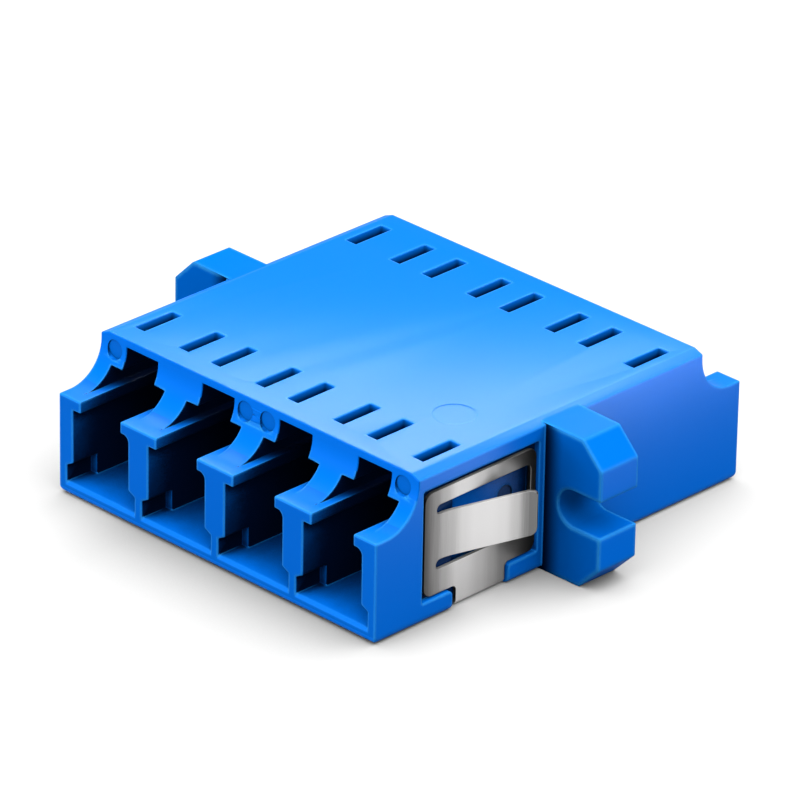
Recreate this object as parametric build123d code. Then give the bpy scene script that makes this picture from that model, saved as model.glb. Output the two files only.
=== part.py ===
from build123d import *
import os
from math import atan2, cos, radians, sin, tan

os.makedirs("parts", exist_ok=True)

# A four-port fibre optic adapter: four plug sockets at the front, four at the back.
# X runs along the row of ports, Y runs through them from front to back, and Z is up.
# The origin is the centre of the underside, so the ground touches the body at z = 0.

# Plug space, seen from the end of a socket. Its sizes stack up to the size of the body.
PORT_COUNT = 4
PLUG_WIDTH = 4.62
PLUG_HEIGHT = 4.73
PILLAR_WIDTH = 1.63
SIDE_MARGIN = 0.3
FLOOR_THICKNESS = 0.87
RAIL_THICKNESS = 0.72
RAIL_OVERHANG = 0.65
RAIL_FILLET = 0.42
LUG_SLOT_WIDTH = 4.44
LUG_SLOT_HEIGHT = 1.18
LATCH_SLOT_WIDTH = 2.6
LATCH_SLOT_HEIGHT = 1.34
CEILING_THICKNESS = 0.5
MOUTH_STEP = 0.52
MOUTH_DEPTH = 1.9
MOUTH_HEIGHT = 1.06
MOUTH_SLOPE = 0.27
FLOOR_BEVEL = 0.15

# Sockets and the wall between them, seen from the side
SOCKET_DEPTH = 13.45
WALL_THICKNESS = 2.6
END_SET_BACK = 3.27
END_RADIUS = 2.45

# Windows in the top, where the latch lugs catch
WINDOW_WIDTH = 0.82
WINDOW_LENGTH = 2.94
WINDOW_SET_BACK = 1.53

# Edges of the body
TOP_BEVEL_WIDTH = 0.65
TOP_BEVEL_DROP = 0.25
LEDGE_EDGE_RADIUS = 0.1
BOTTOM_EDGE_RADIUS = 0.45

# Screw flanges
FLANGE_REACH = 4.4
FLANGE_THICKNESS = 3.0
FLANGE_STEP = 0.1
FLANGE_CHAMFER = 1.5
NOTCH_WIDTH = 2.27
NOTCH_REACH = 2.28
NOTCH_HEIGHT = 4.66

# Moulding marks: ejector pins on the front columns, and the gate on the top
PIN_MARK_RADIUS = 0.6
PIN_MARK_DROP = 0.95
PIN_MARK_DEPTH = 0.08
PIN_MARK_INSET = 1.2
PIN_MARK_SPACING = 1.8
GATE_MARK_INSET = 4.1
GATE_MARK_FORWARD = 4.55
GATE_MARK_RADIUS = 1.25
GATE_MARK_DEPTH = 0.03

# Spring-steel clip: a plate on each side, with a tab below it and a tongue bent out of it
STEEL = 0.25
PLATE_SUNK = 0.2
PLATE_LENGTH = 8.82
PLATE_HEIGHT = 6.46
PLATE_LIFT = 1.36
PLATE_FLANGE_GAP = 0.4
PLATE_CORNER = 0.6
TAB_WIDTH = 3.91
TAB_INSET = 2.36
TAB_FILLET = 0.3
BEND_RADIUS = 0.15
BAND_SUNK = 0.03
TONGUE_WIDTH = 2.84
TONGUE_LIFT = 2.1
TONGUE_SLIT = 0.59
TONGUE_LENGTH = 5.78
ROOT_INSET = 1.22
ROOT_FLAT = 0.45
WINDOW_INSET = 0.45
WINDOW_CORNER = 0.35
TONGUE_SPREAD = 1.5
TIP_LENGTH = 0.28
TIP_SPREAD = 0.38
TIP_CORNER = 0.6
TIP_TOP_CORNER = 0.22

# Seat of the clip in the housing
CLIP_CLEARANCE = 0.03
SEAT_SPARE_FRONT = 0.33
SEAT_SPARE_TOP = 0.4
SEAT_SPARE_LOW = 0.12
SEAT_CORNER = 0.15
NECK_SPARE_FRONT = 0.44
NECK_SPARE_BACK = 0.09
CORE_RADIUS = 0.25
POCKET_WALL = 0.31
POCKET_INSET = 1.23
POCKET_MARGIN = 0.28
DIMPLE_FORWARD = 2.5
DIMPLE_LIFT = 5.22
DIMPLE_RADIUS = 0.6
DIMPLE_DEPTH = 0.08

# Split sleeve, and the two halves of its holder
FERRULE_RADIUS = 0.625
SLEEVE_WALL = 0.185
SLEEVE_LENGTH = 6.8
SLEEVE_SLIT = 0.3
SLEEVE_PLAY = 0.09
SLEEVE_END_PLAY = 0.05
BARREL_WALL = 0.4
HOLDER_CLEARANCE = 0.03
HOLDER_MEETING = 0.02
COLLAR_STEP = 0.55
COLLAR_THICKNESS = 0.6
FUNNEL_PLAY = 0.08
FUNNEL_LENGTH = 1.15
FUNNEL_FLARE = 0.25

# How far cutting shapes run past the surface that they cut
PAST = 1.0

# Row of ports and heights of the body
port_pitch = PLUG_WIDTH + PILLAR_WIDTH
port_centres = [(i - (PORT_COUNT - 1) / 2) * port_pitch for i in range(PORT_COUNT)]
half_width = PORT_COUNT * port_pitch / 2 + SIDE_MARGIN
half_length = SOCKET_DEPTH + WALL_THICKNESS / 2
wall_face = WALL_THICKNESS / 2
top_end = half_length - END_SET_BACK
rail_underside = FLOOR_THICKNESS + PLUG_HEIGHT
ledge_height = rail_underside + RAIL_THICKNESS
lug_slot_top = ledge_height + LUG_SLOT_HEIGHT
ceiling = lug_slot_top + LATCH_SLOT_HEIGHT
body_height = ceiling + CEILING_THICKNESS
ferrule_height = FLOOR_THICKNESS + PLUG_HEIGHT / 2
barrel_radius = FERRULE_RADIUS + SLEEVE_WALL + SLEEVE_PLAY + BARREL_WALL

# Clip and its seat. The tongue lies in the plate's window, and the tab passes the neck of the seat.
plate_face = half_width - PLATE_SUNK
plate_back_face = plate_face - STEEL
seat_face = plate_back_face - CLIP_CLEARANCE
plate_back = -FLANGE_THICKNESS / 2 - PLATE_FLANGE_GAP
plate_front = plate_back - PLATE_LENGTH
plate_top = PLATE_LIFT + PLATE_HEIGHT
tab_back = plate_back - TAB_INSET
tab_front = tab_back - TAB_WIDTH
band_top = BAND_SUNK + STEEL
groove_top = band_top + CLIP_CLEARANCE
tongue_low = PLATE_LIFT + TONGUE_LIFT
tongue_high = tongue_low + TONGUE_WIDTH
window_low = tongue_low - TONGUE_SLIT
window_high = tongue_high + TONGUE_SLIT
window_end = plate_back - WINDOW_INSET
tongue_root = plate_front + ROOT_INSET


def box(x0, x1, y0, y1, z0, z1):
    # A block between two corners.
    size = (x1 - x0, y1 - y0, z1 - z0)
    return Pos((x0 + x1) / 2, (y0 + y1) / 2, (z0 + z1) / 2) * Box(*size)


def along_y(points, y0, y1):
    # An outline of (x, z) points, extruded from y0 to y1.
    outline = make_face(Polyline(*[(x, y0, z) for x, z in points], close=True))
    return extrude(outline, amount=y1 - y0, dir=(0, 1, 0))


def along_x(outline, x0, x1):
    # A face in the plane x = 0, extruded from x0 to x1.
    return extrude(Pos(x0, 0, 0) * outline, amount=x1 - x0, dir=(1, 0, 0))


def rod(x, y0, y1, z, radius):
    # A cylinder whose axis runs along Y.
    turned = Rot(90, 0, 0) * Cylinder(radius, y1 - y0)
    return Pos(x, (y0 + y1) / 2, z) * turned


def side_rod(x0, x1, y, z, radius):
    # A cylinder whose axis runs along X.
    return Pos((x0 + x1) / 2, y, z) * (Rot(0, 90, 0) * Cylinder(radius, x1 - x0))


def both_ends(shape):
    # The shape and its reflection at the other end of the ports.
    return [shape, mirror(shape, about=Plane.XZ)]


def both_sides(shape):
    # The shape and its reflection on the other side of the row.
    return [shape, mirror(shape, about=Plane.YZ)]


def side_outline():
    # The body seen from the side: ledges at both ends below a hollow quarter round.
    arc_z = ledge_height + END_RADIUS
    flat_y = top_end + END_RADIUS
    waist = END_RADIUS * (1 - cos(radians(45)))
    curve = Polyline((0, half_length, ledge_height), (0, half_length, 0), (0, -half_length, 0),
                     (0, -half_length, ledge_height), (0, -flat_y, ledge_height))
    curve += ThreePointArc((0, -flat_y, ledge_height), (0, -top_end - waist, ledge_height + waist),
                           (0, -top_end, arc_z))
    curve += Polyline((0, -top_end, arc_z), (0, -top_end, body_height), (0, top_end, body_height),
                      (0, top_end, arc_z))
    curve += ThreePointArc((0, top_end, arc_z), (0, top_end + waist, ledge_height + waist),
                           (0, flat_y, ledge_height))
    curve += Line((0, flat_y, ledge_height), (0, half_length, ledge_height))
    face = make_face(curve)
    tips = [v for v in face.vertices() if abs(abs(v.Y) - half_length) < 1e-6 and v.Z > FLOOR_THICKNESS]
    return fillet(tips, LEDGE_EDGE_RADIUS)


def body_blank():
    # The end outline has bevelled top corners. All four edges of the underside are rounded.
    points = [(-half_width, 0), (half_width, 0), (half_width, body_height - TOP_BEVEL_DROP),
              (half_width - TOP_BEVEL_WIDTH, body_height), (TOP_BEVEL_WIDTH - half_width, body_height),
              (-half_width, body_height - TOP_BEVEL_DROP)]
    prism = along_y(points, -half_length - PAST, half_length + PAST)
    blank = prism & along_x(side_outline(), -half_width - PAST, half_width + PAST)
    return fillet(blank.edges().group_by(Axis.Z)[0], BOTTOM_EDGE_RADIUS)


def flange():
    # The right-hand flange, with its open screw notch. The left one mirrors it.
    inner, edge = half_width - BOTTOM_EDGE_RADIUS, half_width + FLANGE_REACH
    high = body_height - FLANGE_STEP
    y0, y1 = -FLANGE_THICKNESS / 2, FLANGE_THICKNESS / 2
    points = [(inner, 0), (edge - FLANGE_CHAMFER, 0), (edge, FLANGE_CHAMFER),
              (edge, high - FLANGE_CHAMFER), (edge - FLANGE_CHAMFER, high), (inner, high)]
    plate = along_y(points, y0, y1)
    notch_x, radius = half_width + NOTCH_REACH, NOTCH_WIDTH / 2
    plate -= rod(notch_x, y0 - PAST, y1 + PAST, NOTCH_HEIGHT, radius)
    return plate - box(notch_x, edge + PAST, y0 - PAST, y1 + PAST,
                       NOTCH_HEIGHT - radius, NOTCH_HEIGHT + radius)


def port_cutter(x):
    # The space for one plug and its latch, at the front end.
    outer, inner = -half_length - PAST, -wall_face
    plug, gap = PLUG_WIDTH / 2, PLUG_WIDTH / 2 - RAIL_OVERHANG
    lug, latch, mouth = LUG_SLOT_WIDTH / 2, LATCH_SLOT_WIDTH / 2, PLUG_WIDTH / 2 + MOUTH_STEP
    channel = box(x - plug, x + plug, outer, inner, FLOOR_THICKNESS, rail_underside)
    corner = [e for e in channel.edges().filter_by(Axis.Y)
              if e.center().X > x and e.center().Z > ferrule_height]
    cut = fillet(corner, RAIL_FILLET)
    cut += box(x - gap, x + gap, outer, inner, ferrule_height, ledge_height)
    cut += box(x - lug, x + lug, outer, inner, ledge_height, lug_slot_top)
    cut += box(x - latch, x + latch, outer, inner, ledge_height, ceiling)
    high = FLOOR_THICKNESS + MOUTH_HEIGHT
    relief = [(x - mouth, FLOOR_THICKNESS), (x + mouth, FLOOR_THICKNESS), (x + mouth, high),
              (x + plug, high + MOUTH_SLOPE), (x - plug, high + MOUTH_SLOPE), (x - mouth, high)]
    cut += along_y(relief, outer, MOUTH_DEPTH - half_length)
    bevel = Polyline((0, -half_length - FLOOR_BEVEL, FLOOR_THICKNESS - 2 * FLOOR_BEVEL),
                     (0, FLOOR_BEVEL - half_length, FLOOR_THICKNESS),
                     (0, -half_length - FLOOR_BEVEL, FLOOR_THICKNESS), close=True)
    cut += along_x(make_face(bevel), x - mouth, x + mouth)
    far = WINDOW_SET_BACK - top_end
    for side in (-1, 1):
        edges = sorted((side * lug, side * (lug - WINDOW_WIDTH)))
        cut += box(x + edges[0], x + edges[1], far, far + WINDOW_LENGTH, ledge_height, body_height + PAST)
    return cut


def clip_seat():
    # The side recess with its neck, the pocket behind the tongue, and the groove under the body.
    seat = box(seat_face, half_width + PAST, plate_front - SEAT_SPARE_FRONT, plate_back + CLIP_CLEARANCE,
               PLATE_LIFT - SEAT_SPARE_LOW, plate_top + SEAT_SPARE_TOP)
    seat = fillet(seat.edges().filter_by(Axis.X), SEAT_CORNER)
    neck_front, neck_back = tab_front - NECK_SPARE_FRONT, tab_back + NECK_SPARE_BACK
    seat += box(seat_face, half_width + PAST, neck_front, neck_back, -PAST, PLATE_LIFT)
    shoulder = [e for e in seat.edges().filter_by(Axis.X)
                if abs(e.center().Z - PLATE_LIFT + SEAT_SPARE_LOW) < 1e-6
                and min(abs(e.center().Y - neck_front), abs(e.center().Y - neck_back)) < 1e-6]
    seat = fillet(shoulder, TAB_FILLET)
    floor = port_centres[-1] + PLUG_WIDTH / 2 + POCKET_WALL
    seat += box(floor, half_width, tongue_root + POCKET_INSET, window_end + POCKET_MARGIN,
                window_low - POCKET_MARGIN, window_high + POCKET_MARGIN)
    seat += side_rod(floor - DIMPLE_DEPTH, seat_face, -wall_face - DIMPLE_FORWARD, DIMPLE_LIFT,
                     DIMPLE_RADIUS)
    core = box(-seat_face, seat_face, neck_front - PAST, neck_back + PAST, groove_top, PLATE_LIFT + PAST)
    low = [e for e in core.edges().filter_by(Axis.Y) if e.center().Z < groove_top + 1e-6]
    core = fillet(low, CORE_RADIUS)
    groove = box(-half_width - PAST, half_width + PAST, neck_front, neck_back, -PAST, PLATE_LIFT / 2)
    return both_sides(seat) + [groove - core]


def moulding_marks():
    # Ejector marks on the front columns, and the gate mark on the top.
    side, middle = half_width - PIN_MARK_INSET, PIN_MARK_SPACING / 2
    height = body_height - PIN_MARK_DROP
    marks = [rod(x, -half_length, PIN_MARK_DEPTH - top_end, height, PIN_MARK_RADIUS)
             for x in (-side, -middle, middle, side)]
    gate = Cylinder(GATE_MARK_RADIUS, 2 * GATE_MARK_DEPTH)
    return marks + [Pos(half_width - GATE_MARK_INSET, -GATE_MARK_FORWARD, body_height) * gate]


def housing():
    shape = body_blank() + both_sides(flange())
    for x in port_centres:
        shape -= both_ends(port_cutter(x))
        shape -= rod(x, -wall_face - PAST, wall_face + PAST, ferrule_height,
                     barrel_radius + HOLDER_CLEARANCE)
    shape -= clip_seat()
    return shape - moulding_marks()


def plate_blank():
    # The flat plate with its tab, before the tongue is cut free.
    plate = box(plate_back_face, plate_face, plate_front, plate_back, PLATE_LIFT, plate_top)
    plate = fillet(plate.edges().filter_by(Axis.X), PLATE_CORNER)
    plate += box(plate_back_face, plate_face, tab_front, tab_back, band_top + BEND_RADIUS,
                 PLATE_LIFT + STEEL)
    roots = [e for e in plate.edges().filter_by(Axis.X) if abs(e.center().Z - PLATE_LIFT) < 1e-6
             and min(abs(e.center().Y - tab_front), abs(e.center().Y - tab_back)) < 1e-6]
    return fillet(roots, TAB_FILLET)


def tongue_window():
    # The slit above the tongue, the slit below it, and the space past its tip.
    x0, x1 = plate_back_face - PAST, plate_face + PAST
    window = box(x0, x1, tongue_root, window_end, window_low, window_high)
    far = window.edges().filter_by(Axis.X).group_by(Axis.Y)[-1]
    window = fillet(far, WINDOW_CORNER)
    for z in (tongue_low - TONGUE_SLIT / 2, tongue_high + TONGUE_SLIT / 2):
        window += side_rod(x0, x1, tongue_root, z, TONGUE_SLIT / 2)
    return window


def tongue():
    # The strip that bends outwards from the plate, seen from above as a bent band.
    bend_y = tongue_root + ROOT_FLAT
    crease_x, crease_y = plate_face + TONGUE_SPREAD, tongue_root + TONGUE_LENGTH - TIP_LENGTH
    tip_x, tip_y = crease_x + TIP_SPREAD, tongue_root + TONGUE_LENGTH
    rise = atan2(TONGUE_SPREAD, crease_y - bend_y)
    flare = atan2(TIP_SPREAD, TIP_LENGTH)
    bend_in = bend_y + STEEL * tan(rise / 2)
    slant = STEEL * tan((flare - rise) / 2)
    outer = [(plate_face, tongue_root), (plate_face, bend_y), (crease_x, crease_y), (tip_x, tip_y)]
    inner = [(tip_x - STEEL * cos(flare), tip_y + STEEL * sin(flare)),
             (crease_x - STEEL * cos(rise) + slant * sin(rise),
              crease_y + STEEL * sin(rise) + slant * cos(rise)),
             (plate_back_face, bend_in), (plate_back_face, tongue_root)]
    outline = make_face(Polyline(*[(x, y, tongue_low) for x, y in outer + inner], close=True))
    strip = extrude(outline, amount=TONGUE_WIDTH, dir=(0, 0, 1))
    top_corner = strip.edges().group_by(Axis.Z)[-1].filter_by(lambda e: e.center().Y > crease_y)
    strip = fillet(top_corner.sort_by(Axis.Y)[-1], TIP_TOP_CORNER)
    end = Plane(origin=(tip_x, tip_y, tongue_low), x_dir=(cos(flare), -sin(flare), 0),
                z_dir=(sin(flare), cos(flare), 0))
    corner = end * Box(4 * STEEL, 2 * TIP_CORNER, 2 * TIP_CORNER)
    middle = end * Pos(0, -TIP_CORNER, -TIP_CORNER)
    return strip - (corner - middle * (Rot(0, 90, 0) * Cylinder(TIP_CORNER, 5 * STEEL)))


def panel_clip():
    # One bent strip: a band under the body, a plate up each side, a tongue bent out of each plate.
    plate = plate_blank() - tongue_window() + tongue()
    turn_x, turn_z = plate_back_face - BEND_RADIUS, band_top + BEND_RADIUS
    ring = rod(turn_x, tab_front, tab_back, turn_z, BEND_RADIUS + STEEL)
    ring -= rod(turn_x, tab_front, tab_back, turn_z, BEND_RADIUS)
    bend = ring & box(turn_x, plate_face + PAST, tab_front, tab_back, -PAST, turn_z)
    band = box(-turn_x, turn_x, tab_front, tab_back, BAND_SUNK, band_top)
    return band + both_sides(bend + plate)


def sleeve_holder(x):
    # The front half of the holder: a barrel with a square collar. Its funnel keeps the sleeve in
    # and leads the ferrule to it.
    lip, seat = -SLEEVE_LENGTH / 2 - SLEEVE_END_PLAY, -wall_face - HOLDER_CLEARANCE
    tip, narrow = lip - FUNNEL_LENGTH, FERRULE_RADIUS + FUNNEL_PLAY
    collar = barrel_radius + COLLAR_STEP
    barrel = rod(x, tip, -HOLDER_MEETING / 2, ferrule_height, barrel_radius)
    barrel += box(x - collar, x + collar, seat - COLLAR_THICKNESS, seat,
                  ferrule_height - collar, ferrule_height + collar)
    barrel -= rod(x, lip, PAST, ferrule_height, barrel_radius - BARREL_WALL)
    funnel = Rot(90, 0, 0) * Cone(narrow, narrow + FUNNEL_FLARE, FUNNEL_LENGTH)
    return barrel - Pos(x, (tip + lip) / 2, ferrule_height) * funnel


def split_sleeve(x):
    # A spring tube, slit along its top, that lines up the two ferrules.
    end, radius = SLEEVE_LENGTH / 2, FERRULE_RADIUS + SLEEVE_WALL
    tube = rod(x, -end, end, ferrule_height, radius) - rod(x, -end, end, ferrule_height, FERRULE_RADIUS)
    return tube - box(x - SLEEVE_SLIT / 2, x + SLEEVE_SLIT / 2, -end, end,
                      ferrule_height, ferrule_height + 2 * radius)


nodes = {"housing": housing(), "panel_clip": panel_clip()}
for number, x in enumerate(port_centres, start=1):
    front, rear = both_ends(sleeve_holder(x))
    nodes[f"holder_front_{number}"] = front
    nodes[f"holder_rear_{number}"] = rear
    nodes[f"split_sleeve_{number}"] = split_sleeve(x)

for name, shape in nodes.items():
    export_step(shape, f"parts/{name}.step")
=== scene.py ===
# %% [markdown]
# # A four-port fibre optic adapter
# This lesson dresses a finished CAD model: a small blue coupler that joins fibre plugs from both
# sides. The housing is one moulding, a spring-steel clip holds it in a panel, and four ceramic
# sleeves sit deep inside. The model comes in as a fixed frame in metres, and nothing in it moves.
# Sizes in this lesson are in millimetres, and one factor turns them to metres.

# %% Load the frame
import math

import bmesh
import bpy
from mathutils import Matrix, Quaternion, Vector


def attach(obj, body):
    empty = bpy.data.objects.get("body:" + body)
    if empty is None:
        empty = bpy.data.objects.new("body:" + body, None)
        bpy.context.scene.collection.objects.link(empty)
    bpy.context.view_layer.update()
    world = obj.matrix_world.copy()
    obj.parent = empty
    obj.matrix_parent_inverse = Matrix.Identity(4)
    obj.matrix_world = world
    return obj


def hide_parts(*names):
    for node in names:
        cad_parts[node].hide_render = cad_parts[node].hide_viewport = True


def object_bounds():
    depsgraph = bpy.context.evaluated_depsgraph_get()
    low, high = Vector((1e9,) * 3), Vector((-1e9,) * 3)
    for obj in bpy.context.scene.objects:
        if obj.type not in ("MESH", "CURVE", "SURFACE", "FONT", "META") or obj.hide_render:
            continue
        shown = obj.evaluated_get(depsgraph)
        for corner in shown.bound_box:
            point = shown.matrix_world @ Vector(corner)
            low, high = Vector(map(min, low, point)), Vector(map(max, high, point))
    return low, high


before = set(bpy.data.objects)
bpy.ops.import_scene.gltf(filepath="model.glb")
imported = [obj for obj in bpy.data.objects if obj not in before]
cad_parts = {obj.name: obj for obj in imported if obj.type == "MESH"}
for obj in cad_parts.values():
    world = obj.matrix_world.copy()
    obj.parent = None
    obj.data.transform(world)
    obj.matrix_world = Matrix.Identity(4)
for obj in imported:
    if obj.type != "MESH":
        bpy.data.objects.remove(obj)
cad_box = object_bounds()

MM = 0.001
print("nodes:", ", ".join(sorted(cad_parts)))
print("size in mm:", [round(c / MM, 2) for c in cad_box[1] - cad_box[0]])

# %% [markdown]
# ## The camera
# A product picture like this is taken from far away with a long lens, so that parallel edges stay
# nearly parallel. The camera could be placed by three coordinates, but angles are easier to judge.
# It circles the part: first comes the direction from the part to the lens, then the distance, and
# last a small roll about the lens axis.

# %% Camera
AZIMUTH = math.radians(44.456)
ELEVATION = math.radians(26.627)
ROLL = math.radians(1.034)
DISTANCE = 409.43 * MM
AIM = Vector((-1.055, 1.031, 4.72)) * MM
# The sensor and the lens are in mm, as they are on a real camera.
SENSOR = 36.0
LENS = 320.59

to_camera = Vector((math.sin(AZIMUTH) * math.cos(ELEVATION),
                    -math.cos(AZIMUTH) * math.cos(ELEVATION), math.sin(ELEVATION)))
camera = bpy.data.objects.new("camera", bpy.data.cameras.new("camera"))
bpy.context.scene.collection.objects.link(camera)
camera.data.sensor_width = SENSOR
camera.data.lens = LENS
camera.location = AIM + DISTANCE * to_camera
camera.rotation_mode = "QUATERNION"
camera.rotation_quaternion = (-to_camera).to_track_quat("-Z", "Y") @ Quaternion((0, 0, 1), ROLL)
bpy.context.scene.camera = camera
print("camera at, in mm:", [round(c / MM) for c in camera.location])

# %% [markdown]
# ## Soft edges
# No edge of a real moulding is a perfect corner. The mould is cut by round tools and the melt doesn't
# fill a sharp corner, so each edge has a tiny radius that catches a line of light. A Bevel modifier
# goes by the angle alone and would also round shallow marks that are flatter than its radius, so the
# edges are picked in code. First the CAD mesh is copied, and its loose triangles are merged into
# clean faces.

# %% A clean copy
MERGE_DISTANCE = 0.001
FLAT_ANGLE = math.radians(0.5)


def clean_copy(node, name):
    # The copy is left in edit mode, ready for the next step.
    piece = bpy.data.objects.new(name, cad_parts[node].data.copy())
    bpy.context.scene.collection.objects.link(piece)
    bpy.ops.object.select_all(action="DESELECT")
    piece.select_set(True)
    bpy.context.view_layer.objects.active = piece
    print(name, "starts from", len(piece.data.polygons), "loose triangles")
    bpy.ops.object.mode_set(mode="EDIT")
    bpy.ops.mesh.select_mode(type="EDGE")
    bpy.ops.mesh.select_all(action="SELECT")
    bpy.ops.mesh.remove_doubles(threshold=MERGE_DISTANCE * MM)
    bpy.ops.mesh.dissolve_limited(angle_limit=FLAT_ANGLE)
    return piece


print("faces that turn less than", round(math.degrees(FLAT_ANGLE), 2), "degrees become one")

# %% [markdown]
# Every edge where two faces meet at a clear angle is then selected and bevelled. Places that are
# named as marks are left out. Smooth shading up to a small angle makes the bevel look round and
# keeps the flat faces flat.

# %% Rounded edges
SHARP_ANGLE = math.radians(40)
EDGE_STEPS = 2
SMOOTH_BELOW = math.radians(13)


def round_edges(piece, width, marks=()):
    # A mark is a centre and a radius in mm, inside which edges stay sharp.
    bpy.ops.mesh.select_all(action="DESELECT")
    bpy.ops.mesh.edges_select_sharp(sharpness=SHARP_ANGLE)
    edit = bmesh.from_edit_mesh(piece.data)
    for edge in edit.edges:
        middle = (edge.verts[0].co + edge.verts[1].co) / 2 / MM
        if any((middle - Vector(centre)).length < radius for centre, radius in marks):
            edge.select = False
    bmesh.update_edit_mesh(piece.data)
    rounded = sum(edge.select for edge in edit.edges)
    bpy.ops.mesh.bevel(offset=width * MM, segments=EDGE_STEPS, affect="EDGES", clamp_overlap=False)
    bpy.ops.object.mode_set(mode="OBJECT")
    bpy.ops.object.shade_smooth_by_angle(angle=SMOOTH_BELOW)
    triangles = sum(len(face.vertices) - 2 for face in piece.data.polygons)
    print(piece.name, "rounded edges:", rounded, "triangles:", triangles)


print("a rounded edge has", EDGE_STEPS, "steps")

# %% [markdown]
# ## The housing
# The housing is one injection moulding. Ejector pins pushed it out of the mould and left shallow
# discs on its front columns, the melt came in through a gate on the top, and each side pocket has a
# round dimple behind the clip. A bevel would be deeper than these marks, so they stay sharp.

# %% The housing and its shallow marks
EDGE_WIDTH = 0.07
TOP = cad_box[1][2] / MM
PIN_MARKS = [((x, -11.44, 8.39), 0.68) for x in (-11.6, -0.9, 0.9, 11.6)]
GATE_MARK = [((8.7, -4.55, TOP), 1.35)]
DIMPLES = [((x, -3.8, 5.22), 0.68) for x in (-11.95, 11.95)]
# Where the round lower edge of the body runs into a flange, a bevel would poke out below the part.
FLANGE_ROOTS = [((x, y, 0.0), 0.35) for x in (-12.45, 12.45) for y in (-1.5, 1.5)]

housing = clean_copy("housing", "housing_moulding")
round_edges(housing, EDGE_WIDTH, PIN_MARKS + GATE_MARK + DIMPLES + FLANGE_ROOTS)
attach(housing, "root")
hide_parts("housing")

# %% [markdown]
# ## The clip
# The clip is stamped from thin strip and bent. A press can't fold steel to a sharp line, so the
# tongue leaves its plate in a wide bend. The CAD model has a crease there. A bend could be modelled
# afresh, but a wide bevel on the crease gives the same curve. The crease is found by its place along
# Y and by its small angle.

# %% The bend of the tongue
TONGUE_BEND = -9.05
BEND_SLACK = 0.1
UPRIGHT_SLACK = 0.01
FOLD_FROM, FOLD_TO = math.radians(10), math.radians(30)
BEND_WIDTH = 0.4
BEND_STEPS = 5


def bend_tongues(piece):
    bpy.ops.mesh.select_all(action="DESELECT")
    edit = bmesh.from_edit_mesh(piece.data)
    for edge in edit.edges:
        one, two = (v.co / MM for v in edge.verts)
        upright = abs(one.x - two.x) + abs(one.y - two.y) < UPRIGHT_SLACK
        folded = edge.is_manifold and FOLD_FROM < edge.calc_face_angle() < FOLD_TO
        edge.select = upright and folded and abs(one.y - TONGUE_BEND) < BEND_SLACK
    bmesh.update_edit_mesh(piece.data)
    print("edges in the bends of the tongues:", sum(edge.select for edge in edit.edges))
    bpy.ops.mesh.bevel(offset=BEND_WIDTH * MM, segments=BEND_STEPS, affect="EDGES", clamp_overlap=False)


clip = clean_copy("panel_clip", "spring_clip")
bend_tongues(clip)

# %% [markdown]
# Stamped steel has soft edges too, because the strip is tumbled after it is cut. They are finer than
# those of the moulding, and the same function rounds them.

# %% The edges of the clip
CLIP_EDGE_WIDTH = 0.04

round_edges(clip, CLIP_EDGE_WIDTH)
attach(clip, "root")
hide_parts("panel_clip")

# %% [markdown]
# ## Colours and nodes
# Colours are written as the sRGB hex values that a picture shows, and Blender wants them linear, so
# one function turns them over. A second function adds a node with its settings and its links, which
# by hand would be a drag from socket to socket. Two more start a material and give it to a piece.


# %% Helpers for materials
def linear(code):
    shares = [int(code[i:i + 2], 16) / 255 for i in (1, 3, 5)]
    return [c / 12.92 if c <= 0.04045 else ((c + 0.055) / 1.055) ** 2.4 for c in shares] + [1.0]


def add_node(material, kind, inputs=None, **settings):
    # An input is a plain value, or a pair of a node and the name or number of its output.
    node = material.node_tree.nodes.new(kind)
    for name, value in settings.items():
        setattr(node, name, value)
    for name, value in (inputs or {}).items():
        if isinstance(value, tuple) and isinstance(value[0], bpy.types.Node):
            material.node_tree.links.new(value[0].outputs[value[1]], node.inputs[name])
        else:
            node.inputs[name].default_value = value
    return node


def empty_material(name):
    material = bpy.data.materials.new(name)
    material.use_nodes = True
    material.node_tree.nodes.clear()
    return material


def give(piece, material):
    piece.data.materials.clear()
    piece.data.materials.append(material)


print("mid grey #808080 is", round(linear("#808080")[0], 3), "in linear light")

# %% [markdown]
# ## Blue moulded plastic
# The housing is moulded from PBT, a tough polyester with a satin skin. Its look is built in steps,
# and some of them paint shade and highlights into the colour.
# The first is the colour, which drifts slightly where the melt flowed. A soft noise with patches of
# several millimetres gives that, and the drift is so small that the eye takes it for one blue.

# %% The colour of the melt
# The Mix node keeps its colour sockets at these places.
MIX_FACTOR, MIX_A, MIX_B, MIX_RESULT = 0, 6, 7, 2
BLUE = "#007cfe"
BLUE_FLOW = "#0079f5"
FLOW_PATCH = 9.0
DETAIL = 2.0


def melt_colour(plastic, place, shade):
    flow = add_node(plastic, "ShaderNodeTexNoise",
                    {"Vector": (place, "Object"), "Scale": 1 / (FLOW_PATCH * MM), "Detail": DETAIL})
    return add_node(plastic, "ShaderNodeMix",
                    {MIX_FACTOR: (flow, "Fac"), MIX_A: [shade * c for c in linear(BLUE)],
                     MIX_B: [shade * c for c in linear(BLUE_FLOW)]}, data_type="RGBA")


print("patches of the melt are", FLOW_PATCH, "mm wide")

# %% [markdown]
# Deep hollows look almost black, because light has to bounce off blue many times to come out of
# them, and each bounce takes most of it. This shade is painted into the colour, so the next step
# measures how open a place is. More bounces in the render would be slow. The Ambient Occlusion node
# gives it at once, from 0 deep in a hollow to 1 in the open, and a face that looks up gets a little
# more, as painted light from above.

# %% How open each place is
HOLLOW_REACH = 6.0
OPEN_SAMPLES = 8
# Faces that look up get painted light from above.
UPWARD_FROM, UPWARD_TO = 0.5, 0.9
UPWARD_BONUS = 0.3


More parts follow.
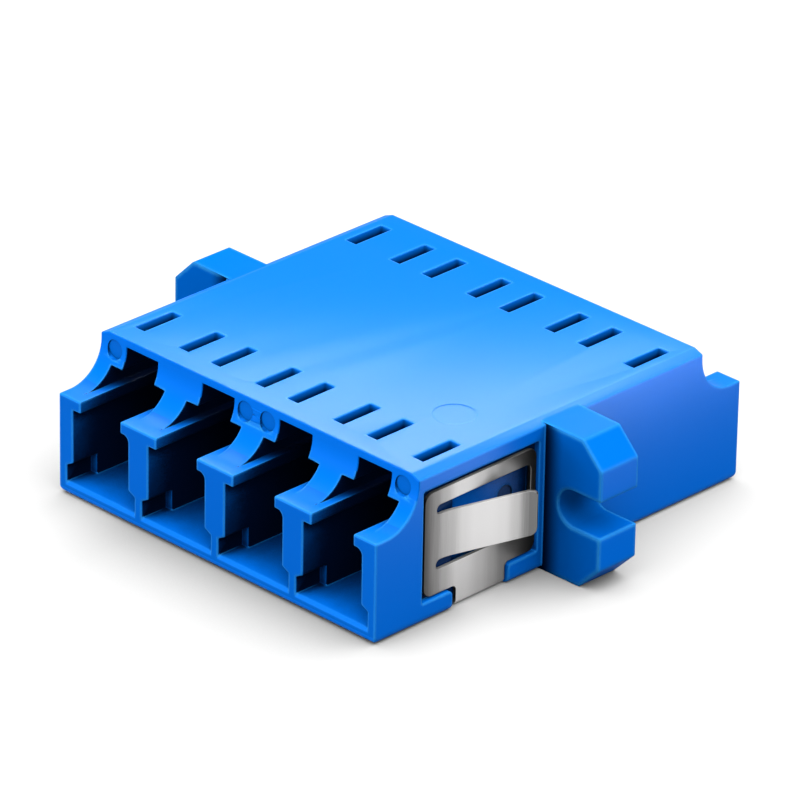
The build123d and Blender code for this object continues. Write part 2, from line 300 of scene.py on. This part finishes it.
def open_share(plastic, own):
    openness = add_node(plastic, "ShaderNodeAmbientOcclusion", {"Distance": HOLLOW_REACH * MM},
                        samples=OPEN_SAMPLES, only_local=True)
    facing = add_node(plastic, "ShaderNodeSeparateXYZ", {"Vector": (own, "Normal")})
    upward = add_node(plastic, "ShaderNodeMapRange",
                      {"Value": (facing, "Z"), "From Min": UPWARD_FROM, "From Max": UPWARD_TO,
                       "To Max": UPWARD_BONUS})
    return add_node(plastic, "ShaderNodeMath", {0: (openness, "AO"), 1: (upward, "Result")},
                    operation="ADD")


print("walls darken a hollow up to", HOLLOW_REACH, "mm away")

# %% [markdown]
# How open a place is decides how much of its blue shows, and the rest is painted shade. Near the
# rims of the windows in the top the blue always comes back, as painted light from above. A skin may
# also fade along one axis, with painted shade for places that lie in the shade of something bigger,
# such as a flange beside the body.

# %% How much blue shows
# The rims of the windows get painted light from above.
RIM_LOW, RIM_HIGH = 8.7, 9.3


# A fade along one axis paints shade beside something bigger.
def lit_share(plastic, place, sky, dark_below, full_above, fade):
    lit = add_node(plastic, "ShaderNodeMapRange",
                   {"Value": (sky, 0), "From Min": dark_below, "From Max": full_above},
                   interpolation_type="SMOOTHSTEP")
    apart = add_node(plastic, "ShaderNodeSeparateXYZ", {"Vector": (place, "Object")})
    rim = add_node(plastic, "ShaderNodeMapRange",
                   {"Value": (apart, "Z"), "From Min": RIM_LOW * MM, "From Max": RIM_HIGH * MM},
                   interpolation_type="SMOOTHSTEP")
    lit = add_node(plastic, "ShaderNodeMath", {0: (lit, "Result"), 1: (rim, "Result")},
                   operation="MAXIMUM")
    if fade:
        axis, start, end = fade
        away = add_node(plastic, "ShaderNodeMath", {0: (apart, axis)}, operation="ABSOLUTE")
        clear = add_node(plastic, "ShaderNodeMapRange",
                         {"Value": (away, 0), "From Min": start * MM, "From Max": end * MM},
                         interpolation_type="SMOOTHSTEP")
        lit = add_node(plastic, "ShaderNodeMath", {0: (lit, 0), 1: (clear, "Result")},
                       operation="MULTIPLY")
    return lit


print("the blue comes back between", RIM_LOW, "and", RIM_HIGH, "mm above the floor")

# %% [markdown]
# Thin edges look lighter where they catch the light, and here that is a painted highlight in the
# colour. The Bevel node gives a rounded normal, and where it turns away from the face's own normal
# there is an edge. Only an edge that stands out is thin. In a corner that goes in, less of the sky
# is open, so the painted highlight is held back there.

# %% The painted highlight on thin edges
EDGE_TURN = 0.86
OUTER_FROM, OUTER_TO = 0.55, 0.75


def painted_edge_highlight(plastic, own, rounded, sky, lit, painted_highlight):
    along = add_node(plastic, "ShaderNodeVectorMath", {0: (rounded, "Normal"), 1: (own, "Normal")},
                     operation="DOT_PRODUCT")
    near_edge = add_node(plastic, "ShaderNodeMapRange",
                         {"Value": (along, "Value"), "From Min": 1.0, "From Max": EDGE_TURN,
                          "To Max": painted_highlight})
    outer = add_node(plastic, "ShaderNodeMapRange",
                     {"Value": (sky, 0), "From Min": OUTER_FROM, "From Max": OUTER_TO})
    share = add_node(plastic, "ShaderNodeMath", {0: (near_edge, "Result"), 1: (lit, 0)},
                     operation="MULTIPLY")
    return add_node(plastic, "ShaderNodeMath", {0: (share, 0), 1: (outer, "Result")},
                    operation="MULTIPLY")


full_turn = round(math.degrees(math.acos(EDGE_TURN)))
print("the glow is full where the normal turns by", full_turn, "degrees")

# %% [markdown]
# The mould was spark eroded, which leaves a very fine grain and gives the plastic its satin look.
# Real grain is a few hundredths of a millimetre wide and wouldn't show, so it is drawn coarser.
# Light that has bounced off the plastic is toned down to a dark grey, because otherwise it would
# stain the white paper and the steel more than it does in the real picture.

# %% The satin surface
BOUNCE = "#34363a"
GRAIN = 0.12
GRAIN_HEIGHT = 0.002
GRAIN_STRENGTH = 0.3
SATIN = 0.38
PLASTIC_IOR = 1.5


def satin_surface(plastic, place, rounded, colour, shine):
    ray = add_node(plastic, "ShaderNodeLightPath")
    bounced = add_node(plastic, "ShaderNodeMath",
                       {0: (ray, "Is Diffuse Ray"), 1: (ray, "Is Glossy Ray")}, operation="MAXIMUM")
    colour = add_node(plastic, "ShaderNodeMix",
                      {MIX_FACTOR: (bounced, 0), MIX_A: (colour, MIX_RESULT), MIX_B: linear(BOUNCE)},
                      data_type="RGBA")
    grain = add_node(plastic, "ShaderNodeTexNoise",
                     {"Vector": (place, "Object"), "Scale": 1 / (GRAIN * MM), "Detail": DETAIL})
    relief = add_node(plastic, "ShaderNodeBump",
                      {"Height": (grain, "Fac"), "Strength": GRAIN_STRENGTH,
                       "Distance": GRAIN_HEIGHT * MM, "Normal": (rounded, "Normal")})
    skin = add_node(plastic, "ShaderNodeBsdfPrincipled",
                    {"Base Color": (colour, MIX_RESULT), "Roughness": SATIN, "IOR": PLASTIC_IOR,
                     "Specular IOR Level": shine, "Normal": (relief, "Normal")})
    add_node(plastic, "ShaderNodeOutputMaterial", {"Surface": (skin, "BSDF")})


print("grain of", GRAIN, "mm, roughness", SATIN)

# %% [markdown]
# The steps meet in one function. A moulding could have one material, but the painted shade and
# highlights in its colour are not the same all over, and a skin for each kind of place is easier to
# adjust. What changes from skin to skin is an input, and all else is shared.

# %% The whole plastic
# The first blue is painted shade in hollows, the second a painted highlight on thin edges.
BLUE_PAINTED_SHADE = "#011334"
BLUE_PAINTED_HIGHLIGHT = "#3fb2ff"
EDGE_SAMPLES = 4


def blue_plastic(name, dark_below, full_above, shine=0.03, shade=1.0, painted_highlight=0.95, reach=0.22,
                 fade=None):
    # Dark and full are shares of open sky, between which the painted shade of a hollow lifts. Shine is
    # the polish, and shade a share of full colour, a painted shade over the whole skin. The painted
    # highlight on an edge has a strength and a reach, the second in mm. Fade is an axis with the
    # distances from the middle, in mm, between which the colour comes out of the painted dark.
    plastic = empty_material(name)
    place = add_node(plastic, "ShaderNodeTexCoord")
    own = add_node(plastic, "ShaderNodeNewGeometry")
    tint = melt_colour(plastic, place, shade)
    sky = open_share(plastic, own)
    lit = lit_share(plastic, place, sky, dark_below, full_above, fade)
    # Painted shade: the blue sinks to the dark blue where little sky is open.
    hollow = add_node(plastic, "ShaderNodeMix",
                      {MIX_FACTOR: (lit, 0), MIX_A: linear(BLUE_PAINTED_SHADE), MIX_B: (tint, MIX_RESULT)},
                      data_type="RGBA")
    rounded = add_node(plastic, "ShaderNodeBevel", {"Radius": reach * MM}, samples=EDGE_SAMPLES)
    edge_share = painted_edge_highlight(plastic, own, rounded, sky, lit, painted_highlight)
    # Painted highlight: a light blue along thin edges that stand out.
    colour = add_node(plastic, "ShaderNodeMix",
                      {MIX_FACTOR: (edge_share, 0), MIX_A: (hollow, MIX_RESULT),
                       MIX_B: linear(BLUE_PAINTED_HIGHLIGHT)}, data_type="RGBA")
    satin_surface(plastic, place, rounded, colour, shine)
    return plastic


print("the blue runs from", BLUE_PAINTED_SHADE, "in a hollow to", BLUE_PAINTED_HIGHLIGHT, "on a thin edge")

# %% [markdown]
# Most of what the eye meets is the open outside, a clear blue with a painted highlight along each
# edge. The other skins of the outside are small. Around the pin marks the painted highlight is off,
# because it would draw their rims too strongly, and the marks are a shade darker. The ends of the
# walls between the sockets get painted shade, because they get less light than the rest.

# %% Skins of the outside
skins = {
    "outside": blue_plastic("moulded_blue_pbt", 0.15, 0.7),
    "pin_pad": blue_plastic("moulded_blue_pbt_pin_pad", 0.15, 0.7, painted_highlight=0.0, reach=0.05),
    "pin_mark": blue_plastic("moulded_blue_pbt_pin_mark", 0.15, 0.7, shade=0.82, painted_highlight=0.0,
                             reach=0.05),
    # The ends of the walls between the sockets get painted shade.
    "pillar": blue_plastic("moulded_blue_pbt_pillar", 0.15, 0.7, shade=0.76),
}
print("skins so far:", ", ".join(skins))

# %% [markdown]
# The sockets turn almost black a little way in with painted shade, and only their rails come out of
# the painted dark towards the mouth. The seat behind the clip lies in the shadow of the steel,
# painted into its colour, and the dimple in it shows as a soft dark disc of painted shade.

# %% Skins of the hollows
# Painted shade: the sockets, the rails deeper in, the seat behind the clip and the dimple.
skins["socket"] = blue_plastic("moulded_blue_pbt_socket", 0.62, 0.98)
skins["rail"] = blue_plastic("moulded_blue_pbt_rail", 0.3, 0.9, fade=("Y", 10.0, 14.0))
skins["seat"] = blue_plastic("moulded_blue_pbt_seat", 0.05, 0.75, shade=0.12, painted_highlight=0.0)
skins["dimple"] = blue_plastic("moulded_blue_pbt_dimple", 0.62, 0.98, shade=0.3, painted_highlight=0.0)
print("skins so far:", ", ".join(skins))

# %% [markdown]
# The flanges stand out from the body, and the painted highlight takes a wider band along their
# edges. They hardly shine. Their faces get painted shade beside the body that clears further out,
# and the screw notch gets darker with painted shade the further in it goes.

# %% Skins of the flanges
# A wide painted highlight on the flange edges, painted shade on their faces and in the notch.
skins["flange_edge"] = blue_plastic("moulded_blue_pbt_flange_edge", 0.1, 0.6, shine=0.004, reach=0.35)
skins["flange_face"] = blue_plastic("moulded_blue_pbt_flange_face", 0.05, 0.45, shine=0.0, shade=0.66,
                                    reach=0.45, fade=("X", 12.9, 14.3))
skins["notch"] = blue_plastic("moulded_blue_pbt_notch", 0.0, 0.5, shine=0.0, shade=0.72, reach=0.35,
                              fade=("X", 7.0, 16.0))
print("all skins:", ", ".join(skins))

# %% [markdown]
# ## Which skin goes where
# Faces could be picked by hand in edit mode, but the picks would be lost with the next change to the
# model. So the skin of a face follows from where its centre is and from the way it looks. The part
# is nearly the same left and right, and front and back, so most tests take distances from the
# middle. These are the places that they ask about.

# %% Places on the housing
REACH, MOUTH = cad_box[1][0] / MM - 0.1, cad_box[1][1] / MM - 0.15
FLANGE_START = 12.85
NOTCH_LOW, NOTCH_HIGH = 3.4, 5.9
PAD_FROM, PAD_TO, PAD_LOW = 11.35, 11.6, 7.7
MARK_FLOOR = 11.46
FRONT_HALF = -1.6
SEAT_FROM, SEAT_TO = 12.25, 12.4
DIMPLE_FROM, DIMPLE_TO = 11.85, 11.96
PILLAR_REACH, PILLAR_LOW, PILLAR_HIGH = 11.5, 1.0, 5.5
INSIDE = 12.4
RAIL_LOW, RAIL_HIGH = 4.5, 6.6
SOCKET_LOW, SOCKET_FLOOR, SOCKET_HIGH = 0.6, 2.0, 8.75
CORE_WALL = 11.0
print("the mouths of the sockets start", round(MOUTH, 2), "mm from the middle")

# %% [markdown]
# One function asks about these places in turn, from the flanges inwards, and the first answer
# counts. A face looks along an axis when its normal goes mostly that way.

# %% The skin of a face
MOSTLY = 0.7


def skin_of(face):
    x, y, z = (abs(c) / MM for c in face.center)
    sideways, lengthways = abs(face.normal.x) > MOSTLY, abs(face.normal.y) > MOSTLY
    upwards, downwards = face.normal.z > MOSTLY, face.normal.z < -MOSTLY
    in_front = face.center.y < FRONT_HALF * MM
    in_body = x < INSIDE and y < MOUTH
    deep_wall = sideways or downwards or upwards and z < SOCKET_FLOOR
    back_wall = lengthways and y < CORE_WALL
    if x > FLANGE_START and lengthways:
        return "flange_face"
    if x > FLANGE_START:
        return "notch" if x < REACH and NOTCH_LOW < z < NOTCH_HIGH else "flange_edge"
    if PAD_FROM < y < PAD_TO and z > PAD_LOW:
        return "pin_pad" if y > MARK_FLOOR else "pin_mark"
    if sideways and SEAT_FROM < x < SEAT_TO and in_front:
        return "seat"
    if sideways and DIMPLE_FROM < x < DIMPLE_TO and in_front:
        return "dimple"
    if x < PILLAR_REACH and y > MOUTH and PILLAR_LOW < z < PILLAR_HIGH and lengthways:
        return "pillar"
    if in_body and RAIL_LOW < z < RAIL_HIGH and upwards:
        return "rail"
    if in_body and SOCKET_LOW < z < SOCKET_HIGH and (deep_wall or back_wall):
        return "socket"
    return "outside"


print("the largest face is", skin_of(max(housing.data.polygons, key=lambda face: face.area)))

# %% [markdown]
# The moulding takes all skins as its material slots, and each face gets the number of its skin. The
# sleeve holders are moulded from the same plastic and sit deep in the sockets, so they wear the skin
# of the sockets as a whole, with its painted shade.

# %% Dress the housing and the holders
housing.data.materials.clear()
for skin in skins.values():
    housing.data.materials.append(skin)
numbers = {kind: number for number, kind in enumerate(skins)}
for face in housing.data.polygons:
    face.material_index = numbers[skin_of(face)]
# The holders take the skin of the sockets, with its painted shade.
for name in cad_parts:
    if name.startswith("holder"):
        give(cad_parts[name], skins["socket"])
for kind, number in numbers.items():
    print(kind, "faces:", sum(face.material_index == number for face in housing.data.polygons))

# %% [markdown]
# ## Spring steel
# The clip is stamped from thin stainless strip. Rolling leaves fine lines along the strip, which is
# upright here. A noise that is stretched along Z gives them. The real lines are a few thousandths
# of a millimetre wide, and they are drawn coarser so that they just show.

# %% Rolled lines
LINE_WIDTH = 0.05
LINE_STRETCH = 0.02
LINE_SHIFT = 0.03

steel = empty_material("rolled_spring_steel")
place = add_node(steel, "ShaderNodeTexCoord")
apart = add_node(steel, "ShaderNodeSeparateXYZ", {"Vector": (place, "Object")})
stretch = add_node(steel, "ShaderNodeMapping",
                   {"Vector": (place, "Object"), "Scale": (1, 1, LINE_STRETCH)})
lines = add_node(steel, "ShaderNodeTexNoise",
                 {"Vector": (stretch, "Vector"), "Scale": 1 / (LINE_WIDTH * MM), "Detail": DETAIL})
line_share = add_node(steel, "ShaderNodeMapRange",
                      {"Value": (lines, "Fac"), "To Min": -LINE_SHIFT, "To Max": LINE_SHIFT})
print("each line is", round(LINE_WIDTH / LINE_STRETCH, 1), "mm long")

# %% [markdown]
# Polished steel shows the room. On the real clip this gives long soft bands, brightest in the middle
# of the plate and darker towards both ends. Lamps and cards could be placed until the bands come
# out, but each try needs a render, so the bands are a painted reflection, a ramp of greys along Y.
# The rolled lines shift it a little.

# %% Bands of painted reflection
# Painted reflection: each stop is a place along Y in mm and the grey of the room seen there.
PLATE_REFLECTION_TONES = [(-10.7, "#525151"), (-9.8, "#868585"), (-9.2, "#a7a6a6"), (-8.1, "#d2d1d1"),
               (-7.4, "#d4d3d3"), (-6.3, "#c6c5c5"), (-5.3, "#b2b1b1"), (-4.6, "#9b9a9a"),
               (-3.3, "#a4a3a3"), (-1.9, "#6a6a6a")]
TONGUE_REFLECTION_TONES = [(-9.4, "#828181"), (-8.7, "#a9a8a8"), (-8.0, "#c7c6c6"), (-7.3, "#d0cfcf"),
                (-6.3, "#d1d0d0"), (-5.5, "#cccbcb"), (-4.8, "#b5b4b4"), (-4.1, "#7c7c7c")]


def painted_reflection_along(stops):
    # Each stop is a place along Y in mm and the tone there.
    start, end = stops[0][0], stops[-1][0]
    spot = add_node(steel, "ShaderNodeMapRange",
                    {"Value": (apart, "Y"), "From Min": start * MM, "From Max": end * MM})
    spot = add_node(steel, "ShaderNodeMath", {0: (spot, "Result"), 1: (line_share, "Result")},
                    operation="ADD")
    ramp = add_node(steel, "ShaderNodeValToRGB", {"Fac": (spot, 0)})
    ramp.color_ramp.interpolation = "EASE"
    while len(ramp.color_ramp.elements) < len(stops):
        ramp.color_ramp.elements.new(0.5)
    for stop, (y, code) in zip(ramp.color_ramp.elements, stops):
        stop.position = (y - start) / (end - start)
        stop.color = linear(code)
    return ramp


plate_reflection = painted_reflection_along(PLATE_REFLECTION_TONES)
tongue_reflection = painted_reflection_along(TONGUE_REFLECTION_TONES)
print("stops on the plate:", len(PLATE_REFLECTION_TONES), "and on the tongue:", len(TONGUE_REFLECTION_TONES))

# %% [markdown]
# The tongue leaves the plane of the plate, so it shows another part of the room and has a painted
# reflection of its own. Its flared tip turns forward, away from the bright bands, and gets a darker
# painted reflection.

# %% Plate, tongue and tip
PLATE_FACE = 12.6
TONGUE_STEP = 0.1
# The flared tip gets a darker painted reflection.
TIP_REFLECTION_TONE = "#6c6c6c"
TIP_FROM, TIP_TO, TIP_SHARE = -0.5, -0.75, 0.75

aside = add_node(steel, "ShaderNodeMath", {0: (apart, "X")}, operation="ABSOLUTE")
on_tongue = add_node(steel, "ShaderNodeMapRange",
                     {"Value": (aside, 0), "From Min": PLATE_FACE * MM,
                      "From Max": (PLATE_FACE + TONGUE_STEP) * MM})
bands = add_node(steel, "ShaderNodeMix",
                 {MIX_FACTOR: (on_tongue, "Result"), MIX_A: (plate_reflection, "Color"),
                  MIX_B: (tongue_reflection, "Color")}, data_type="RGBA")
own = add_node(steel, "ShaderNodeNewGeometry")
facing = add_node(steel, "ShaderNodeSeparateXYZ", {"Vector": (own, "Normal")})
flare = add_node(steel, "ShaderNodeMapRange",
                 {"Value": (facing, "Y"), "From Min": TIP_FROM, "From Max": TIP_TO,
                  "To Max": TIP_SHARE})
shade = add_node(steel, "ShaderNodeMix",
                 {MIX_FACTOR: (flare, "Result"), MIX_A: (bands, MIX_RESULT),
                  MIX_B: linear(TIP_REFLECTION_TONE)}, data_type="RGBA")
print("the tongue starts", PLATE_FACE, "mm from the middle")

# %% [markdown]
# The edge that the punch cut is torn and matt, but only faces that look up are made less of a mirror.
# The light from above makes them pale, so the line along the top edges is partly a real matt edge and
# partly a highlight chosen by which way the face looks. The rest is metal with a slightly rough polish.

# %% Steel
CUT_FROM, CUT_TO, CUT_MIRROR = 0.45, 0.8, 0.25
STEEL_ROUGHNESS = 0.3

mirror = add_node(steel, "ShaderNodeMapRange",
                  {"Value": (facing, "Z"), "From Min": CUT_FROM, "From Max": CUT_TO,
                   "To Min": 1.0, "To Max": CUT_MIRROR})
metal = add_node(steel, "ShaderNodeBsdfPrincipled",
                 {"Base Color": (shade, MIX_RESULT), "Metallic": (mirror, "Result"),
                  "Roughness": STEEL_ROUGHNESS})
add_node(steel, "ShaderNodeOutputMaterial", {"Surface": (metal, "BSDF")})
give(clip, steel)
print("nodes in the steel:", len(steel.node_tree.nodes))

# %% [markdown]
# ## Zirconia
# The split sleeves that line up the fibres are zirconia, a dense warm white ceramic that is ground
# and polished. It bends light strongly, so its IOR is high, and the polish gives it a clear shine.
# A pattern could be added, but ground ceramic has none that the eye can see, and the sleeves sit in
# the dark of the sockets. Plain values are enough.

# %% Zirconia
CERAMIC_WHITE = "#f1eee4"
CERAMIC_POLISH = 0.15
CERAMIC_IOR = 2.1

ceramic = empty_material("polished_zirconia")
body = add_node(ceramic, "ShaderNodeBsdfPrincipled",
                {"Base Color": linear(CERAMIC_WHITE), "Roughness": CERAMIC_POLISH,
                 "IOR": CERAMIC_IOR})
add_node(ceramic, "ShaderNodeOutputMaterial", {"Surface": (body, "BSDF")})
sleeves = [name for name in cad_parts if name.startswith("split_sleeve")]
for name in sleeves:
    give(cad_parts[name], ceramic)
print("sleeves of zirconia:", len(sleeves))

# %% [markdown]
# ## The floor
# The part lies on a wide sheet of white paper. In a studio the sheet curves up behind the part, but
# seen from this height a flat one fills the picture. It lies a hair below the part, so that the two
# surfaces don't share a plane and flicker.

# %% The sheet
SHEET_SIZE = 2000.0
SHEET_GAP = 0.02

bpy.ops.object.select_all(action="DESELECT")
bpy.ops.mesh.primitive_plane_add(size=SHEET_SIZE * MM, location=(0, 0, -SHEET_GAP * MM))
floor = bpy.context.object
floor.name = "floor"
print("sheet of", round(floor.dimensions.x, 2), "m")

# %% [markdown]
# Right at the part the paper takes a soft contact shadow. Much light reaches it here from all sides,
# so the lamps alone leave it too pale, and a painted shadow in the paper's colour deepens it. The
# Ambient Occlusion node finds the paper that the part closes off, and two ramps keep the painted
# shadow to the front of the part, where the picture has it.

# %% The painted contact shadow
# Along Y the shadow grows from its start to its full depth.
SHADOW_START, SHADOW_FULL = 2.0, -12.0
SHADOW_DEPTH = 0.36
# Along X it is full near its middle and gone at its edge.
SHADOW_MIDDLE = 2.5
SHADOW_EDGE, SHADOW_CORE = 13.5, 8.0
SHADOW_REACH = 24.0
CLOSED_OFF = 0.4

paper = empty_material("white_paper")
place = add_node(paper, "ShaderNodeTexCoord")
apart = add_node(paper, "ShaderNodeSeparateXYZ", {"Vector": (place, "Object")})
forward = add_node(paper, "ShaderNodeMapRange",
                   {"Value": (apart, "Y"), "From Min": SHADOW_START * MM,
                    "From Max": SHADOW_FULL * MM, "To Max": SHADOW_DEPTH})
aside = add_node(paper, "ShaderNodeMath", {0: (apart, "X"), 1: SHADOW_MIDDLE * MM},
                 operation="SUBTRACT")
aside = add_node(paper, "ShaderNodeMath", {0: (aside, 0)}, operation="ABSOLUTE")
within = add_node(paper, "ShaderNodeMapRange",
                  {"Value": (aside, 0), "From Min": SHADOW_EDGE * MM, "From Max": SHADOW_CORE * MM},
                  interpolation_type="SMOOTHSTEP")
openness = add_node(paper, "ShaderNodeAmbientOcclusion", {"Distance": SHADOW_REACH * MM},
                    samples=OPEN_SAMPLES)
closed = add_node(paper, "ShaderNodeMapRange",
                  {"Value": (openness, "AO"), "From Min": 1.0, "From Max": CLOSED_OFF})
# The painted shadow: the share of the paper's colour that is taken away.
contact = add_node(paper, "ShaderNodeMath", {0: (forward, "Result"), 1: (within, "Result")},
                   operation="MULTIPLY")
contact = add_node(paper, "ShaderNodeMath", {0: (contact, 0), 1: (closed, "Result")},
                   operation="MULTIPLY")
left = add_node(paper, "ShaderNodeMath", {0: 1.0, 1: (contact, 0)}, operation="SUBTRACT")
print("at its darkest the shadow takes", SHADOW_DEPTH, "of the light")

# %% [markdown]
# Uncoated paper is matt, so it gets the plain diffuse shader, which is white from every side. For
# light that bounces off it the paper is much darker, because a full white sheet would light the
# underside of the part more than the real picture shows.

# %% White paper
PAPER_WHITE = "#e7e7e7"
PAPER_BOUNCE = "#6c6c6c"

seen = add_node(paper, "ShaderNodeLightPath")
tone = add_node(paper, "ShaderNodeMix",
                {MIX_FACTOR: (seen, "Is Diffuse Ray"), MIX_A: linear(PAPER_WHITE),
                 MIX_B: linear(PAPER_BOUNCE)}, data_type="RGBA")
tone = add_node(paper, "ShaderNodeVectorMath", {0: (tone, MIX_RESULT), 1: (left, 0)},
                operation="MULTIPLY")
sheet = add_node(paper, "ShaderNodeBsdfDiffuse", {"Color": (tone, "Vector")})
add_node(paper, "ShaderNodeOutputMaterial", {"Surface": (sheet, "BSDF")})
give(floor, paper)
print("nodes in the paper:", len(paper.node_tree.nodes))

# %% [markdown]
# ## The room
# The backdrop of a product picture is pure white, but its light on the part is weak, or the part
# would have no shadows. One world can't be both, so it is split by what a ray is. Rays from the
# camera, and those that a surface mirrors or lets through, meet a full white. All others meet a
# faint fill.

# %% World
WHITE = (1, 1, 1, 1)
FILL = 0.1
BACKDROP = 1.0

world = bpy.data.worlds.new("studio")
bpy.context.scene.world = world
world.use_nodes = True
world.node_tree.nodes.clear()
ray = add_node(world, "ShaderNodeLightPath")
seen = add_node(world, "ShaderNodeMath", {0: (ray, "Is Camera Ray"), 1: (ray, "Is Glossy Ray")},
                operation="MAXIMUM")
seen = add_node(world, "ShaderNodeMath", {0: (seen, 0), 1: (ray, "Is Transmission Ray")},
                operation="MAXIMUM")
fill = add_node(world, "ShaderNodeBackground", {"Color": WHITE, "Strength": FILL})
backdrop = add_node(world, "ShaderNodeBackground", {"Color": WHITE, "Strength": BACKDROP})
pick = add_node(world, "ShaderNodeMixShader", {0: (seen, 0), 1: (fill, 0), 2: (backdrop, 0)})
add_node(world, "ShaderNodeOutputWorld", {"Surface": (pick, 0)})
print("backdrop", BACKDROP, "and fill", FILL)

# %% [markdown]
# ## Lamps
# A softbox is a lamp behind a stretched cloth, and a card is a white board that sends light back.
# Both give soft shadows because they are large, and an Area lamp of the same size does the same. One
# function makes them, aimed at the middle of the part unless it is told otherwise.


# %% A softbox
def softbox(name, place, size, power, aim=(0, 0, 4)):
    lamp = bpy.data.lights.new(name, "AREA")
    lamp.shape = "RECTANGLE"
    lamp.size, lamp.size_y = size[0] * MM, size[1] * MM
    lamp.energy = power
    box = bpy.data.objects.new(name, lamp)
    bpy.context.scene.collection.objects.link(box)
    box.location = Vector(place) * MM
    box.rotation_mode = "QUATERNION"
    box.rotation_quaternion = (Vector(aim) * MM - box.location).to_track_quat("-Z", "Y")
    print(name, "of", size, "mm at", place)
    return box


# %% [markdown]
# Most of the light comes from a very large softbox overhead and slightly behind, which makes the top
# the brightest side and keeps the shadows soft. A small card low in front lifts the front a little.

# %% Overhead and front
softbox("overhead_softbox", place=(50, 55, 400), size=(900, 900), power=5.7)
softbox("front_card", place=(-60, -220, 45), size=(120, 60), power=0.245)

# %% [markdown]
# The rest is sheen on the plastic. A narrow card above the back gives the top a pale streak, a
# bluish one low beside the back brightens the side wall, and a large one far to the right lifts the
# walls and edges that look at the camera.

# %% Cards for the sheen
SHEEN_TINT = (0.4, 0.6, 1.0)

top_sheen = softbox("top_sheen", place=(-6, 7.3, 21.5), size=(44, 8), power=0.03, aim=(11, -10, 9.3))
side_sheen = softbox("side_sheen", place=(39, 21, 0.3), size=(24, 34), power=0.33, aim=(39, 21, 50))
side_sheen.data.color = SHEEN_TINT
side_card = softbox("side_card", place=(300, -260, 50), size=(200, 300), power=0.29)

# %% [markdown]
# On a table such small cards would spill onto the paper and the steel, and would be seen. A computer
# can do what a photographer can't: light linking lets them shine on the housing alone. The two
# nearest cards give only their mirror image and no flat light.

# %% Keep the sheen on the housing
lit_by_sheen = bpy.data.collections.new("lit_by_sheen")
lit_by_sheen.objects.link(housing)
for card in (top_sheen, side_sheen):
    card.visible_diffuse = False
for card in (top_sheen, side_sheen, side_card):
    card.visible_camera = False
    card.light_linking.receiver_collection = lit_by_sheen
print("lamps:", len(bpy.data.lights))

# %% [markdown]
# ## Finish
# The Standard view shows the colours as they are, while others change them to look like film. The
# rounded edges must stay inside the box of the CAD model.

# %% Finish
bpy.context.scene.view_settings.view_transform = "Standard"
